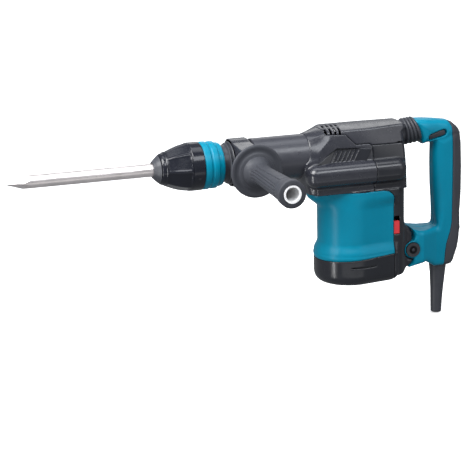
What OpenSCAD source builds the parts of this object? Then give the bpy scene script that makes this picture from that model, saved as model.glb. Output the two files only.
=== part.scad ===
// Demolition hammer with a long chisel, a swinging side grip and a sprung rear D-handle.
// X runs along the blow, from the chisel's point (-X) to the rear handle (+X). Z is up.
// The origin is on the blow axis, in the middle of the bare round barrel.

/* [Chisel] */
// Diameter of the round chisel
chisel_d = 18; // [17.9:0.05:18]
// How far the chisel stands out of the nose
chisel_reach = 208; // [150:1:260]
// Length of the four-sided point
point_len = 38; // [24:1:50]

/* [Chuck and barrel] */
// Distance from the origin to the nose
nose_len = 170; // [168:0.5:172]
// Largest radius of the chuck cover
cover_r = 33; // [31:0.5:34]
// Radius of the round barrel
barrel_r = 31.5; // [31:0.25:32]
// Travel of the locking sleeve
sleeve_travel = 8; // [4:0.5:8]

/* [Side grip] */
// Distance from the blow axis to the grip's flange
flange_reach = 62; // [60:1:66]
// Distance from the blow axis to the grip's end
grip_reach = 205; // [190:1:215]
// Radius of the grip's flange
flange_r = 37.3; // [34:0.1:38]

/* [Casing] */
// Height of the casing's crown over the blow axis
crown_z = 38.5; // [38:0.5:40]
// Half the width over the two side bulges
bulge_reach = 54; // [52:0.5:56]
// Radius of the motor housing's waist
waist_r = 45; // [43.5:0.5:47]
// Radius of the motor housing's lower flange
skirt_r = 51.5; // [50:0.5:53]
// Depth of the base under the blow axis
base_z = 184; // [180:1:188]

/* [Rear handle] */
// Rearmost point of the handle
handle_rear_x = 289; // [287:0.5:292]
// Half the width of the grip
grip_half_w = 16; // [14:0.5:18]
// Length of the cord guard under the handle
guard_len = 73; // [40:1:80]

/* [Drive] */
// Teeth of the pinion on the motor shaft
pinion_teeth = 8; // [8:1:8]
// Teeth of the crank gear
gear_teeth = 43; // [43:1:43]
// Throw of the crank
crank_throw = 12; // [8:0.5:12]

/* [Hidden] */
$fn = 96;
hull_fn = 32;
black = [0.22, 0.23, 0.25];
charcoal = [0.30, 0.31, 0.34];
teal = [0.0, 0.50, 0.58];
steel = [0.72, 0.70, 0.68];
spring_steel = [0.55, 0.56, 0.58];
rubber = [0.13, 0.13, 0.14];
gap = 0.3;
flange_seat = flange_reach - 4.6;
flange_h = 10.5;
fit = 0.05;
wall = 3;

nose_x = -nose_len;
tip_x = nose_x - chisel_reach;
chisel_end_x = -90;
cover_front_x = nose_x + 9;
cover_rear_x = -102.4;
sleeve_front_x = -102;
sleeve_rear_x = -73.5;
collar_x0 = -51;
collar_x1 = -28;
grip_x = (collar_x0 + collar_x1) / 2;
neck_r = 27;
holder_r = 17;
holder_rear_x = -32;
bore_r = 16;
cyl_x0 = -29;
cyl_x1 = 61;

motor_x = 118;
gear_module = 1.25;
crank_x = motor_x - gear_module * (pinion_teeth + gear_teeth) / 2;
rod_len = 52;
wrist_x = crank_x + crank_throw - rod_len;
gear_z0 = -34;
gear_z1 = -24;
split_x = 141;
casing_floor_z = -50;
casing_rear_x = 190;
base_rear_x = 172;
rear_half_w = 36;
skirt_z = -150;
pivot_x = 205;
pivot_z = -145;
pivot_r = 6;
lug_half_w = 14;
ear_half_w = 30;
guard_x = 256;
guard_top_z = -177;
stem_tilt = 18;
stem_z = 24;
stem_r = 20;

// ---- Shapes that repeat ----

module x_rod(r, x0, x1, y = 0, z = 0) {
    translate([x0, y, z]) rotate([0, 90, 0]) cylinder(r = r, h = x1 - x0);
}

module x_tube(r_out, r_in, x0, x1) {
    difference() {
        x_rod(r_out, x0, x1);
        x_rod(r_in, x0 - 1, x1 + 1);
    }
}

// Turned about the blow axis; points are [x, radius]
module x_turned(points) {
    rotate([0, 90, 0]) rotate_extrude() polygon([for (p = points) [p[1], p[0]]]);
}

module y_rod(r, x, z, y0, y1) {
    translate([x, y0, z]) rotate([-90, 0, 0]) cylinder(r = r, h = y1 - y0);
}

// Turned about an axis that runs to the left (-Y) at x; points are [reach, radius]
module y_turned(x, z, points) {
    translate([x, 0, z]) rotate([90, 0, 0]) rotate_extrude() polygon([for (p = points) [p[1], p[0]]]);
}

module z_rod(r, x, z0, z1, y = 0) {
    translate([x, y, z0]) cylinder(r = r, h = z1 - z0);
}

module z_ring(r_out, r_in, x, z0, z1) {
    difference() {
        z_rod(r_out, x, z0, z1);
        z_rod(r_in, x, z0 - 1, z1 + 1);
    }
}

// A side-view outline of [x, z] points, from y0 to y1
module side_plate(points, y0, y1) {
    translate([0, y1, 0]) rotate([90, 0, 0]) linear_extrude(y1 - y0) polygon(points);
}

// A front-view shape (Y across, Z up), from x0 to x1
module x_slab(x0, x1) {
    translate([x0, 0, 0]) rotate([90, 0, 90]) linear_extrude(x1 - x0) children();
}

module z_slab(z0, z1) {
    translate([0, 0, z0]) linear_extrude(z1 - z0) children();
}

// A round wire wound in a helix about Z, from z = 0 to z = height
function coil_point(a, r, h, turns) = [r * cos(a), r * sin(a), h * a / (360 * turns)];
module wire_coil(r, wire_r, h, turns) {
    steps = 14 * turns;
    sides = 6;
    points = [for (i = [0:steps]) let (a = 360 * turns * i / steps) for (j = [0:sides - 1])
        let (b = 360 * j / sides, c = coil_point(a, r + wire_r * cos(b), h, turns))
        [c[0], c[1], c[2] + wire_r * sin(b)]];
    quads = [for (i = [0:steps - 1]) for (j = [0:sides - 1]) let (k = (j + 1) % sides)
        [i * sides + j, (i + 1) * sides + j, (i + 1) * sides + k, i * sides + k]];
    ends = [[for (j = [0:sides - 1]) j], [for (j = [sides - 1:-1:0]) steps * sides + j]];
    polyhedron(points, concat(quads, ends), convexity = 8);
}

// A spur gear outline with straight flanks and running backlash
module gear_outline(teeth, depth) {
    pitch_r = gear_module * teeth / 2;
    root_r = pitch_r - depth;
    half_root = 360 / teeth * 0.25;
    half_tip = atan(0.24 * gear_module * 1.1 / pitch_r);
    tip_r = pitch_r + 0.85 * gear_module;
    polygon([for (i = [0:teeth - 1]) let (a = 360 * i / teeth) for (q = [[root_r, -half_root],
        [tip_r, -half_tip], [tip_r, half_tip], [root_r, half_root]]) [q[0] * cos(a + q[1]), q[0] * sin(a + q[1])]]);
}

// ---- Chisel and chuck ----

module wedge(across) {
    half = chisel_d / 2;
    points = [[tip_x, 0.4], [tip_x + point_len, half + 0.1], [chisel_end_x + 1, half + 0.1],
        [chisel_end_x + 1, -half - 0.1], [tip_x + point_len, -half - 0.1], [tip_x, -0.4]];
    rotate([across, 0, 0]) side_plate(points, -chisel_d, chisel_d);
}

module chisel() {
    color(steel) difference() {
        intersection() {
            x_rod(chisel_d / 2, tip_x, chisel_end_x);
            wedge(45);
            wedge(-45);
        }
        for (s = [-1, 1]) x_rod(3.8, roller_x0 - 0.5, roller_x1 + 12.5, z = s * roller_reach);
    }
}

module nose_cap() {
    color(rubber) x_turned([[nose_x, 9.6], [nose_x, 11.5], [nose_x + 1.2, 12.7], [nose_x + 4, 15.5],
        [nose_x + 8.6, 19.4], [nose_x + 8.6, 9.6]]);
}

// The cover's outer radius follows a quarter of a sine wave
function cover_radius(x) = 19.5 + (cover_r - 19.5) * sin(90 * min(1, (x - cover_front_x) / 47));
module chuck_cover() {
    outer = [for (i = [0:12]) let (x = cover_front_x + i * (cover_rear_x - 3 - cover_front_x) / 12) [x, cover_radius(x)]];
    inner = [for (i = [12:-1:1]) [outer[i][0], outer[i][1] - wall]];
    color(charcoal) x_turned(concat(outer, [[cover_rear_x, cover_r - 1.6], [cover_rear_x, cover_r - 3.6]], inner,
        [[cover_front_x + 3, holder_front_r + 0.2], [cover_front_x, holder_front_r + 0.2]]));
}

holder_front_r = 13.6;
holder_step_x = -113;
roller_r = 3.5;
roller_reach = 10.2;
roller_x0 = -142;
roller_x1 = -126;
module tool_holder() {
    color(spring_steel) difference() {
        x_turned([[nose_x + 9, chisel_d / 2 + fit], [nose_x + 9, holder_front_r], [holder_step_x, holder_front_r],
            [holder_step_x, holder_r], [holder_rear_x, holder_r], [holder_rear_x, 15], [chisel_end_x + 0.5, 15],
            [chisel_end_x + 0.5, chisel_d / 2 + fit]]);
        for (s = [-1, 1]) translate([roller_x0 - 0.2, -roller_r - 0.1, s > 0 ? 0 : -holder_r])
            cube([roller_x1 - roller_x0 + 0.4, 2 * roller_r + 0.2, holder_r]);
    }
}

module lock_rollers() {
    color(steel) for (s = [-1, 1]) x_rod(roller_r, roller_x0, roller_x1, z = s * roller_reach);
}

module lock_ring() {
    color(steel) x_tube(19, holder_front_r + gap, roller_x0 - 3, roller_x1 + 3);
}

module locking_sleeve() {
    color(teal) x_turned([[sleeve_front_x, 28.4], [sleeve_front_x, 32.2], [-100.5, 33.2], [-97, 33.4], [-93.6, 33.2],
        [-92, 32], [-90.4, 31.8], [-88.8, 32.8], [-85.5, 32.9], [-82.5, 32.6], [-80.8, 30.8], [-78.8, 30.6],
        [-75.2, 30.2], [sleeve_rear_x, 29.2], [sleeve_rear_x, 26.4], [-98, 26.4], [-98, 19],
        [roller_x0 - 3, 19], [roller_x0 - 3, 21.4], [-104, 21.4], [-104, 28.4]]);
}

module sleeve_spring() {
    color(spring_steel) translate([-96, 0, 0]) rotate([0, 90, 0]) wire_coil(21, 0.9, 31, 5);
}

module neck_washer() {
    color(steel) x_tube(28.6, holder_r + 0.3, -62.5, -60.5);
}

module holder_bush() {
    color([0.72, 0.55, 0.3]) x_tube(22, holder_r + fit, -58, -36);
}

// ---- Hammer mechanism ----

module impact_bolt() {
    color(steel) x_turned([[-89.7 + gap, 0], [-89.7 + gap, 8.4], [-80, 8.8], [-76, 15 - fit], [-52, 15 - fit], [-50, 10],
        [-34.5, 9.4], [-34.5, 0]]);
}

module damper_ring() {
    color(rubber) x_tube(22, 11, holder_rear_x + gap, cyl_x0 - gap);
}

module cylinder_tube() {
    color(steel) x_tube(19.5, bore_r, cyl_x0, cyl_x1);
}

striker_x0 = -26;
striker_x1 = 6;
module striker() {
    color(steel) difference() {
        x_rod(bore_r - fit, striker_x0, striker_x1);
        x_tube(bore_r + 1, bore_r - 2, striker_x1 - 12, striker_x1 - 8);
    }
}

module striker_ring() {
    color(rubber) x_tube(bore_r - 0.1, bore_r - 1.9, striker_x1 - 11.8, striker_x1 - 8.2);
}

piston_x0 = wrist_x - 12;
piston_x1 = wrist_x + 14;
module piston() {
    color([0.75, 0.76, 0.78]) difference() {
        x_rod(bore_r - fit, piston_x0, piston_x1);
        x_tube(bore_r + 1, bore_r - 2, piston_x0 + 2.5, piston_x0 + 5.5);
        x_rod(11.5, wrist_x - 6, piston_x1 + 1);
        z_rod(9.6, wrist_x, -6, 6);
        z_rod(4, wrist_x, -20, 20);
    }
}

module piston_ring() {
    color(rubber) x_tube(bore_r - 0.1, bore_r - 1.9, piston_x0 + 2.6, piston_x0 + 5.4);
}

module wrist_pin() {
    color(steel) z_rod(4, wrist_x, -15, 15);
}

rod_half_t = 5;
module connecting_rod() {
    big_x = wrist_x + rod_len;
    color([0.75, 0.76, 0.78]) difference() {
        union() {
            z_rod(8.5, wrist_x, -rod_half_t, rod_half_t);
            z_rod(11, big_x, -rod_half_t, rod_half_t);
            translate([wrist_x, -4, -rod_half_t + 1]) cube([rod_len, 8, 2 * rod_half_t - 2]);
        }
        z_rod(4 + fit, wrist_x, -10, 10);
        z_rod(6 + fit, big_x, -10, 10);
    }
}

module crankshaft() {
    color(steel) z_rod(17, crank_x, -20, -12);
    color(steel) z_rod(8, crank_x, -49, -12);
    color(steel) z_rod(6, crank_x + crank_throw, -12, -rod_half_t - 0.4);
}

module crank_gear() {
    color(spring_steel) translate([crank_x, 0, gear_z0]) difference() {
        linear_extrude(gear_z1 - gear_z0) rotate(180 / gear_teeth) gear_outline(gear_teeth, 1.3 * gear_module);
        translate([0, 0, -1]) cylinder(r = 8, h = 20);
    }
}

module crank_bearing() {
    color(steel) z_ring(11.9, 8 + fit, crank_x, -49, -38);
}

module drive_frame() {
    color([0.62, 0.64, 0.66]) difference() {
        z_slab(casing_floor_z + 1, -37) difference() {
            translate([67, -34]) square([89, 68]);
            for (s = [-1, 1]) translate([149, s * 28]) circle(r = 3);
        }
        z_rod(12, crank_x, -60, -30);
        z_rod(13, motor_x, -60, -30);
    }
}

module barrel() {
    color(charcoal) difference() {
        union() {
            x_rod(neck_r, -58.5, 52);
            x_turned([[collar_x1 + gap, 20], [collar_x1 + gap, 30.3], [collar_x1 + 1.5, barrel_r], [56, barrel_r], [56, 20]]);
        }
        x_rod(22, -59, -31.7);
        x_rod(22, -32, -28);
        x_rod(19.5, -29, 30);
        x_rod(barrel_r - wall, -22, 44);
        x_rod(19.5, 43, 53);
        x_rod(26, 51, 57);
    }
}

module counterweight() {
    color(steel) x_tube(27.5, 19.5 + 0.1, 2, 22);
}

module weight_spring_front() {
    color(spring_steel) translate([-20.5, 0, 0]) rotate([0, 90, 0]) wire_coil(23.5, 1, 21, 4);
}

module weight_spring_rear() {
    color(spring_steel) translate([23.4, 0, 0]) rotate([0, 90, 0]) wire_coil(23.5, 1, 18, 4);
}

// ---- Side grip ----

module clamp_collar() {
    color(charcoal) difference() {
        union() {
            intersection() {
                x_rod(36, collar_x0, collar_x1);
                translate([collar_x0, -33, -34]) cube([collar_x1 - collar_x0, 66, 67.5]);
            }
            y_rod(17, grip_x, 0, -(flange_reach - 5), -barrel_r - gap);
        }
        x_rod(neck_r + 0.08, collar_x0 - 20, collar_x1 + 20);
        y_rod(5, grip_x, 0, -80, -neck_r - 2);
    }
}

module side_grip_bolt() {
    color(steel) {
        y_rod(5, grip_x, 0, -(grip_reach - 63), -neck_r - 2.4);
        difference() {
            y_rod(8, grip_x, 0, -(grip_reach - 55), -(grip_reach - 63));
            y_rod(3.5, grip_x, 0, -(grip_reach - 54), -(grip_reach - 59));
        }
    }
}

// Dished guard disc that seats on the collar's boss and turns with the grip
module grip_flange() {
    f = flange_seat;
    color(rubber) y_turned(grip_x, 0, [[f, 5.2], [f, 20], [f + 2, flange_r - 3], [f + 3.4, flange_r - 0.6],
        [f + 5.2, flange_r], [f + 7.4, flange_r - 1], [f + 8.6, flange_r - 4], [f + flange_h, 26],
        [f + flange_h, 5.2]]);
}

module side_grip() {
    f = flange_seat;
    e = grip_reach;
    color(rubber) y_turned(grip_x, 0, [[f + flange_h + 0.1, 5.2], [f + flange_h + 0.1, 25.8],
        [f + 15, 19.5], [f + 22, 15.5], [f + 32, 13.8], [f + 60, 14.6], [f + 100, 16.6], [e - 18, 17.2],
        [e - 14, 18.6], [e - 3, 19.2], [e - 0.6, 18.2], [e, 17], [e, 12.2], [e - 60, 12.2], [e - 60, 9],
        [e - 63, 9], [e - 63, 5.2]]);
}

module grip_sleeve() {
    color([0.93, 0.93, 0.93]) y_turned(grip_x, 0, [[grip_reach - 59.7, 8.3], [grip_reach - 59.7, 12.1],
        [grip_reach + 0.8, 12.1], [grip_reach + 0.8, 9.6], [grip_reach - 54, 9.6], [grip_reach - 54, 8.3]]);
}

// ---- Casing ----

crown_half_w = 27;
function crown(y) = crown_z - y * y / 290;
bulge_r = 13;
bulge_z = -24;
module casing_section(t = 0) {
    polygon(concat([[-44 + t, casing_floor_z + t], [-44 + t, -34], [-40 + t, -8], [-38 + t, 14]],
        [for (y = [-crown_half_w:9:crown_half_w]) [y * (1 - t / 60), crown(y) - t]],
        [[38 - t, 14], [40 - t, -8], [44 - t, -34], [44 - t, casing_floor_z + t]]));
    for (s = [-1, 1]) translate([s * (bulge_reach - bulge_r), bulge_z]) circle(r = bulge_r - t);
}

shoulder_x0 = 50;
shoulder_x1 = 73;
module casing_solid() {
    hull() {
        x_rod(32.5, shoulder_x0, shoulder_x0 + 1, $fn = hull_fn);
        translate([shoulder_x1, 0, 0]) x_slab(0, 0.5) casing_body_outline();
        translate([shoulder_x0 + 5, -30, casing_floor_z]) cube([1, 60, 20]);
    }
    x_slab(shoulder_x1, casing_rear_x) casing_section();
    x_slab(casing_rear_x, casing_rear_x + 3) casing_section(2);
    x_slab(casing_rear_x + 3, casing_rear_x + 5) casing_section(6);
    for (s = [-1, 1]) translate([shoulder_x0 + 8, s * (bulge_reach - bulge_r), bulge_z]) {
        sphere(r = bulge_r);
        rotate([0, 90, 0]) cylinder(r = bulge_r, h = 20);
    }
}

module casing_body_outline() {
    polygon(concat([[-44, casing_floor_z], [-44, -34], [-40, -8], [-38, 14]],
        [for (y = [-crown_half_w:9:crown_half_w]) [y, crown(y)]],
        [[38, 14], [40, -8], [44, -34], [44, casing_floor_z]]));
}

module casing_hollow() {
    x_rod(barrel_r + 0.2, shoulder_x0 - 20, shoulder_x1 + 1);
    x_slab(shoulder_x1 + 1, casing_rear_x - wall) casing_section(wall);
    translate([66, -38, casing_floor_z - 1]) cube([casing_rear_x - wall - 66, 76, 10]);
    translate([shoulder_x0 + 7, -31, casing_floor_z + wall]) cube([37, 62, 48]);
    translate([66, -34.5, casing_floor_z]) cube([40, 69, 15]);
}

// Side view of the top cover, whose seam drops behind the vents
function seam_points(lift) = [[shoulder_x1 + 1 - lift, 33 - lift], [105, 31 - lift], [118 + lift, 20 - lift],
    [250, 17 - lift], [250, 60], [shoulder_x1 + 1 - lift, 60]];

module upper_housing() {
    color(charcoal) difference() {
        casing_solid();
        casing_hollow();
        side_plate(seam_points(0.25), -70, 70);
        translate([split_x - 0.2, -80, -100]) cube([100, 160, 200]);
        side_vents();
    }
}

// Five slanted louvre slots through each side wall
module side_vents() {
    for (s = [-1, 1]) for (i = [0:4]) translate([74 + i * 11, 0, -3])
        side_slot(s);
}

module side_slot(s) {
    side_plate([[0, 0], [4, 0], [20, 15], [16, 15]], s > 0 ? 30 : -45, s > 0 ? 45 : -30);
}

module top_cover() {
    color(charcoal) difference() {
        intersection() {
            casing_solid();
            side_plate(seam_points(0), -70, 70);
        }
        casing_hollow();
        for (i = [0:3]) translate([77 + i * 6, -26, 30]) cube([2.4, 34, 12]);
        x_rod(15, 180, 200, z = stem_z - 2);
    }
}

module rear_cover() {
    color(black) difference() {
        union() {
            intersection() {
                casing_solid();
                translate([split_x + 0.2, -80, casing_floor_z]) cube([100, 160, 100]);
            }
            column();
        }
        casing_hollow();
        side_plate(seam_points(0.25), -70, 70);
        z_slab(-base_z + wall, casing_floor_z + 5) column_plan(wall);
        translate([base_rear_x - 5, -24, -base_z + wall]) cube([14, 48, base_z - 70]);
        translate([181, -lug_half_w, pivot_z - 10]) cube([30, 2 * lug_half_w, 20]);
        y_rod(13.5, pivot_x, pivot_z, -60, 60);
        lever_window();
        y_rod(dial_r + fit, dial_x, dial_z, 20, 60);
        for (x = lamp_places) y_rod(2.5, x, 8, 30, 60);
    }
}

module column_plan(t) {
    polygon([[base_rear_x + 0.3 + t, -rear_half_w - 1 + t], [186, -32 + t], [191.5 - t, -25 + t], [191.5 - t, 25 - t],
        [186, 32 - t], [base_rear_x + 0.3 + t, rear_half_w + 1 - t]]);
}

module column() {
    z_slab(-base_z + 4, casing_floor_z + 0.01) column_plan(0);
    side_plate([[185, -98], [191, -103], [196, -113], [203, -121], [205.5, -128], [202, -131.4], [185, -131.4]], -30, 30);
}

// ---- Motor housing ----

// Plan of the motor housing: a round front that narrows to the column behind
module motor_plan(r, rear_w) {
    translate([motor_x, 0]) circle(r = r);
    polygon([[motor_x + 6, -r + 0.4], [base_rear_x, -rear_w], [base_rear_x, rear_w], [motor_x + 6, r - 0.4]]);
}

module motor_band(z0, r0, w0, z1, r1, w1) {
    hull() {
        z_slab(z0, z0 + 0.1) motor_plan(r0, w0, $fn = 48);
        z_slab(z1 - 0.1, z1) motor_plan(r1, w1, $fn = 48);
    }
}

module motor_top() {
    hull() {
        z_slab(casing_floor_z - 4, casing_floor_z - gap) {
            translate([79, 0]) circle(r = 24, $fn = 48);
            translate([base_rear_x - 60, -44]) square([60, 88]);
        }
        z_slab(-76, -75) motor_plan(waist_r, rear_half_w, $fn = 48);
    }
}

module motor_housing() {
    color(teal) difference() {
        union() {
            motor_top();
            z_slab(-130, -75) motor_plan(waist_r, rear_half_w);
            motor_band(-140, skirt_r, rear_half_w, -130, waist_r, rear_half_w);
            z_slab(skirt_z, -140) motor_plan(skirt_r, rear_half_w);
        }
        z_slab(skirt_z - 1, casing_floor_z + 1) motor_plan(waist_r - wall, rear_half_w - wall);
        translate([70, -30, casing_floor_z - 12]) cube([50, 60, 20]);
    }
}

module bottom_cover() {
    color(black) difference() {
        union() {
            z_slab(-base_z + 6, skirt_z - gap) motor_plan(skirt_r - 0.8, rear_half_w);
            motor_band(-base_z, skirt_r - 6, rear_half_w - 6, -base_z + 6, skirt_r - 0.8, rear_half_w);
        }
        z_slab(-base_z + wall, skirt_z + 1) motor_plan(skirt_r - 0.8 - wall, rear_half_w - wall);
        for (i = [0:5]) translate([motor_x - 30 + i * 10, -18, -base_z - 1]) cube([4, 36, wall + 2]);
    }
}

// ---- Motor ----

module armature() {
    color(steel) {
        z_rod(5, motor_x, -160, gear_z0 - 0.01);
        translate([motor_x, 0, gear_z0]) linear_extrude(gear_z1 - gear_z0)
            gear_outline(pinion_teeth, 1.2 * gear_module);
    }
    color([0.35, 0.3, 0.28]) difference() {
        z_rod(23, motor_x, -120, -74);
        for (i = [0:11]) rotate_about_motor(30 * i) z_rod(2, motor_x + 22, -121, -73);
    }
}

module rotate_about_motor(a) {
    translate([motor_x, 0, 0]) rotate([0, 0, a]) translate([-motor_x, 0, 0]) children();
}

module commutator() {
    color([0.72, 0.45, 0.25]) z_ring(14, 5, motor_x, -142, -126);
}

module fan() {
    color([0.85, 0.85, 0.8]) {
        z_ring(38, 5, motor_x, -57, -55);
        for (i = [0:9]) rotate_about_motor(36 * i) translate([motor_x + 8, -1, -67]) cube([28, 2, 10.5]);
    }
}

module motor_bearings() {
    color(steel) z_ring(12.9, 5 + fit, motor_x, casing_floor_z + 1, -39);
    color(steel) z_ring(11, 5 + fit, motor_x, -156, -149);
}

module stator() {
    color([0.3, 0.3, 0.32]) difference() {
        z_rod(waist_r - wall - 1, motor_x, -121, -73);
        z_rod(24, motor_x, -122, -72);
        for (s = [-1, 1]) translate([motor_x, s * 34, -97]) cube([22, 7, 60], center = true);
    }
}

module brush_holders() {
    color([0.8, 0.65, 0.35]) for (s = [-1, 1]) difference() {
        translate([motor_x - 7, s > 0 ? 16 : -38, -141]) cube([14, 22, 14]);
        translate([motor_x - 4.1, s > 0 ? 15 : -39, -138.1]) cube([8.2, 24, 8.2]);
    }
}

module carbon_brushes() {
    color([0.15, 0.15, 0.15]) for (s = [-1, 1])
        translate([motor_x - 4, s > 0 ? 14.3 : -28.3, -138]) cube([8, 14, 8]);
}

// ---- Switch, dial and lamps ----

lever_x = base_rear_x + 4.6;
lever_z = -107;
lever_travel = 6;
dial_x = 181.6;
dial_z = -88;
dial_r = 8;
lamp_places = [168, 178];
module lever_window() {
    translate([lever_x - 4.2, -60, lever_z - 9.3]) cube([8.4, 38, 18.6 + lever_travel]);
}

module switch_body() {
    color([0.2, 0.2, 0.2]) translate([169.5, -22, -122]) cube([14, 38, 34]);
}

module switch_lever() {
    color([0.85, 0.15, 0.12]) union() {
        translate([lever_x - 4, -37.6, lever_z - 9]) cube([8, 5, 18]);
        translate([lever_x - 2.5, -32.7, lever_z - 3]) cube([5, 10.3, 6]);
    }
}

module speed_dial() {
    color(black) y_rod(dial_r, dial_x, dial_z, 22, 36.5);
}

module status_lamps() {
    color([0.3, 0.8, 0.3]) y_rod(2.5, lamp_places[0], 8, 35, 39.6);
    color([0.8, 0.2, 0.2]) y_rod(2.5, lamp_places[1], 8, 35, 39.6);
}

// ---- Rear handle ----

module handle_lug() {
    color([0.62, 0.64, 0.66]) difference() {
        union() {
            y_rod(12, pivot_x, pivot_z, -lug_half_w, lug_half_w);
            translate([182, -lug_half_w, pivot_z - 10]) cube([pivot_x - 182, 2 * lug_half_w, 20]);
        }
        y_rod(pivot_r, pivot_x, pivot_z, -40, 40);
    }
}

module pivot_pin() {
    color(steel) y_rod(pivot_r, pivot_x, pivot_z, -ear_half_w + 3, ear_half_w - 3);
}

module pivot_caps() {
    color(black) for (s = [-1, 1]) scale([1, s, 1]) difference() {
        y_rod(10.4, pivot_x, pivot_z, ear_half_w - 2.8, ear_half_w + 0.4);
        y_rod(5.6, pivot_x, pivot_z, ear_half_w - 1, ear_half_w + 2);
    }
}

// Side outline of the lower arm, from the knuckle to the cord guard's boss
module lower_arm() {
    intersection() {
        union() {
            side_plate([[200.5, -110.5], [262, -106], [284, -118], [285, -146], [279, -165], [267, -176], [244, -176.5],
                [237, -171], [227, -165.5], [198, -169.5], [194, -162], [193.4, -152], [206, -133], [208.4, -127],
                [206.2, -120]], -31, 31);
            y_rod(12.6, pivot_x, pivot_z, -31, 31);
        }
        z_slab(-200, -90) polygon([[180, -ear_half_w], [222, -ear_half_w + 1], [246, -18], [262, -grip_half_w],
            [280, -13], [292, -6], [292, 6], [280, 13], [262, grip_half_w], [246, 18], [222, ear_half_w - 1],
            [180, ear_half_w]]);
    }
}

// An upright rounded slice of the grip at height z, from x0 to x1
module grip_slice(z, x0, x1, half_w) {
    translate([0, 0, z]) for (p = [[x0 + half_w * 0.8, half_w * 0.8], [x1 - half_w * 0.7, half_w * 0.7]]) {
        translate([p[0], 0, 0]) cylinder(r = p[1], h = 1, $fn = hull_fn);
        translate([x0 + 20, -half_w, 0]) cube([4, 2 * half_w, 1]);
    }
}

module stem_disc(shift) {
    translate([220, 0, stem_z]) rotate([0, -stem_tilt, 0]) translate([shift, 0, 0]) rotate([0, 90, 0])
        cylinder(r = stem_r, h = 1, $fn = 48);
}

module handle_solid() {
    hull() {
        stem_disc(0);
        stem_disc(8);
        grip_slice(32, 240, 271, 15);
        grip_slice(12, 247, 286, grip_half_w);
    }
    hull() {
        grip_slice(33, 246, 274, 13);
        grip_slice(22, 247, 283, 15);
        grip_slice(-45, 247, handle_rear_x, grip_half_w);
    }
    hull() {
        grip_slice(-45, 247, handle_rear_x, grip_half_w);
        grip_slice(-112, 250, handle_rear_x - 2, grip_half_w);
    }
    lower_arm();
}

// The black strip's share of the handle in side view
function strip_points(lift) = [[272 + lift, 60], [271 + lift, 0], [270.5 + lift, -112], [263 + lift, -140],
    [258 + lift, -168], [258 + lift, -200], [320, -200], [320, 60]];

module handle_core() {
    difference() {
        handle_solid();
        translate([180, -lug_half_w - 0.4, -185]) cube([40, 2 * lug_half_w + 0.8, 100]);
        y_rod(pivot_r + fit, pivot_x, pivot_z, -40, 40);
        y_rod(10.6, pivot_x, pivot_z, -40, -ear_half_w + 2.9);
        y_rod(10.6, pivot_x, pivot_z, ear_half_w - 2.9, 40);
        cord_channel();
        for (z = screw_heights) y_rod(2.4, screw_x, z, 5, 40);
        translate([218, 0, stem_z]) rotate([0, 90 - stem_tilt, 0]) cylinder(r = 14, h = 16);
        side_plate(strip_points(0), -40, 40);
    }
}

// The hollow that the lead runs up inside the grip
module cord_channel() {
    translate([guard_x - 7.8, -7.8, -180]) cube([15.6, 15.6, 196]);
}

module handle_left() {
    color(teal) intersection() {
        handle_core();
        translate([150, -50, -200]) cube([160, 49.98, 260]);
    }
}

module handle_right() {
    color(teal) intersection() {
        handle_core();
        translate([150, 0.02, -200]) cube([160, 50, 260]);
    }
}

module handle_back() {
    color(black) difference() {
        intersection() {
            handle_solid();
            side_plate(strip_points(0.2), -40, 40);
        }
        cord_channel();
    }
}

module handle_springs() {
    color(spring_steel) for (s = [-1, 1]) translate([199, 7 * s, stem_z - 4]) rotate([0, 85, 0])
        wire_coil(4.5, 0.8, 24, 6);
}

module bellows() {
    color(rubber) difference() {
        union() {
            for (i = [0:3]) translate([199 + i * 5.4, 0, stem_z - 3 + i * 0.9]) rotate([0, -stem_tilt * i / 3, 0])
                x_turned([[-2.7, 0], [-2.7, 17], [-1.4, 20], [1.4, 20], [2.7, 17], [2.7, 0]]);
        }
        translate([190, 0, stem_z - 4]) rotate([0, 82, 0]) cylinder(r = 14, h = 50);
    }
}

module cord_guard() {
    color(rubber) translate([guard_x, 0, 0]) rotate_extrude() polygon([[4.4, guard_top_z - guard_len],
        [7.1, guard_top_z - guard_len], [11.7, guard_top_z], [7.6, guard_top_z], [7.6, guard_top_z + 14], [4.4, guard_top_z + 14]]);
}

module cord_clamp() {
    color(black) translate([249, -7, -155]) cube([14, 3, 8]);
}

// ---- Fasteners ----

module housing_screws() {
    color(spring_steel) for (s = [-1, 1]) for (x = [88, 162]) x_socket_screw(x, s * 30);
}

module x_socket_screw(x, y) {
    difference() {
        z_rod(3.6, x, -base_z + wall, -base_z + wall + 3, y);
        z_rod(1.8, x, -base_z + wall - 1, -base_z + wall + 2, y);
    }
}

screw_x = 267.2;
screw_heights = [5, -50, -100];
module handle_screws() {
    color(spring_steel) for (z = screw_heights) y_rod(2.4, screw_x, z, 5, 12.5);
}

chisel();
nose_cap();
chuck_cover();
tool_holder();
lock_rollers();
locking_sleeve();
lock_ring();
sleeve_spring();
neck_washer();
holder_bush();
impact_bolt();
damper_ring();
cylinder_tube();  // cylinder
striker();
striker_ring();
piston();
piston_ring();
wrist_pin();
connecting_rod();
crankshaft();
crank_gear();
crank_bearing();
drive_frame();
barrel();
counterweight();
weight_spring_front();
weight_spring_rear();
clamp_collar();
side_grip_bolt();
grip_flange();
side_grip();
grip_sleeve();
upper_housing();
top_cover();
rear_cover();
motor_housing();
bottom_cover();
armature();
commutator();
fan();
motor_bearings();
stator();
brush_holders();
carbon_brushes();
switch_body();
switch_lever();
speed_dial();
status_lamps();
handle_lug();
pivot_pin();
pivot_caps();
handle_left();
handle_right();
handle_back();
handle_springs();
bellows();
cord_guard();
cord_clamp();
housing_screws();
handle_screws();
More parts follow.
